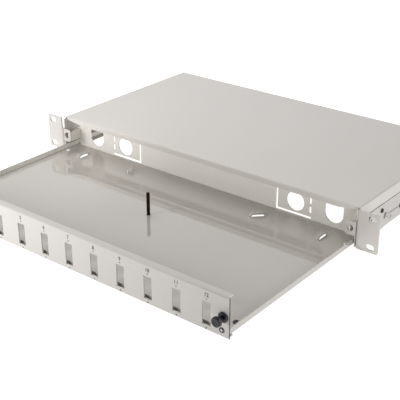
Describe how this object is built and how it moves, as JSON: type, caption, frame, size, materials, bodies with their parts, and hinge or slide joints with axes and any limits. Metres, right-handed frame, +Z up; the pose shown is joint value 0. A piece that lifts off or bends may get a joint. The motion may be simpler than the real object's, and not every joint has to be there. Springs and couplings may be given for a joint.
{
  "type": "fiber termination box",
  "caption": "Rack-mount fibre termination drawer: folded steel housing with rack ears, sliding tray, adapter panel and push latches.",
  "frame": {"origin": "middle of the footprint at the base, with the drawer pulled out", "axes": "+Z up, +X to the right seen from the front, +Y towards the rear, the way the drawer closes"},
  "size_m": [0.4826, 0.4732, 0.0444],
  "materials": {
    "grey_paint": "light grey semi-gloss powder coat",
    "fastener_steel": "zinc plated",
    "stud_steel": "dark burnished thread",
    "black_nylon": "black moulded nylon"
  },
  "bodies": {
    "housing": {"top_cover": "grey_paint", "right_side_wall": "grey_paint", "left_side_wall": "grey_paint", "right_guide_rail": "grey_paint", "left_guide_rail": "grey_paint", "right_rack_ear": "grey_paint", "left_rack_ear": "grey_paint", "right_glide_block": "black_nylon", "left_glide_block": "black_nylon", "right_ear_pan_screw": "fastener_steel", "left_ear_pan_screw": "fastener_steel", "right_ear_low_screw": "stud_steel", "left_ear_low_screw": "stud_steel", "right_cover_screw_1": "fastener_steel", "left_cover_screw_1": "fastener_steel", "right_cover_screw_2": "fastener_steel", "left_cover_screw_2": "fastener_steel", "right_glide_screw": "fastener_steel", "left_glide_screw": "fastener_steel", "right_rail_rivet_1": "grey_paint", "left_rail_rivet_1": "grey_paint", "right_rail_rivet_2": "grey_paint", "left_rail_rivet_2": "grey_paint", "right_rail_rivet_3": "grey_paint", "left_rail_rivet_3": "grey_paint"},
    "drawer": {"drawer_tray": "grey_paint", "cable_wall": "grey_paint", "front_panel": "grey_paint", "right_tray_plug": "black_nylon", "left_tray_plug": "black_nylon", "right_corner_bracket": "grey_paint", "left_corner_bracket": "grey_paint", "cassette_stud": "stud_steel", "right_panel_rivet": "fastener_steel", "left_panel_rivet": "fastener_steel", "right_latch_grommet": "black_nylon", "left_latch_grommet": "black_nylon"},
    "right_plunger": {"right_latch_plunger": "black_nylon"},
    "left_plunger": {"left_latch_plunger": "black_nylon"}
  },
  "joints": [
    {"name": "drawer_slide", "type": "slide", "parent": "housing", "child": "drawer", "axis": [0, 1, 0], "range_m": [0, 0.2133]},
    {"name": "right_plunger_push", "type": "slide", "parent": "drawer", "child": "right_plunger", "axis": [0, 1, 0], "range_m": [0, 0.006]},
    {"name": "left_plunger_push", "type": "slide", "parent": "drawer", "child": "left_plunger", "axis": [0, 1, 0], "range_m": [0, 0.006]}
  ]
}
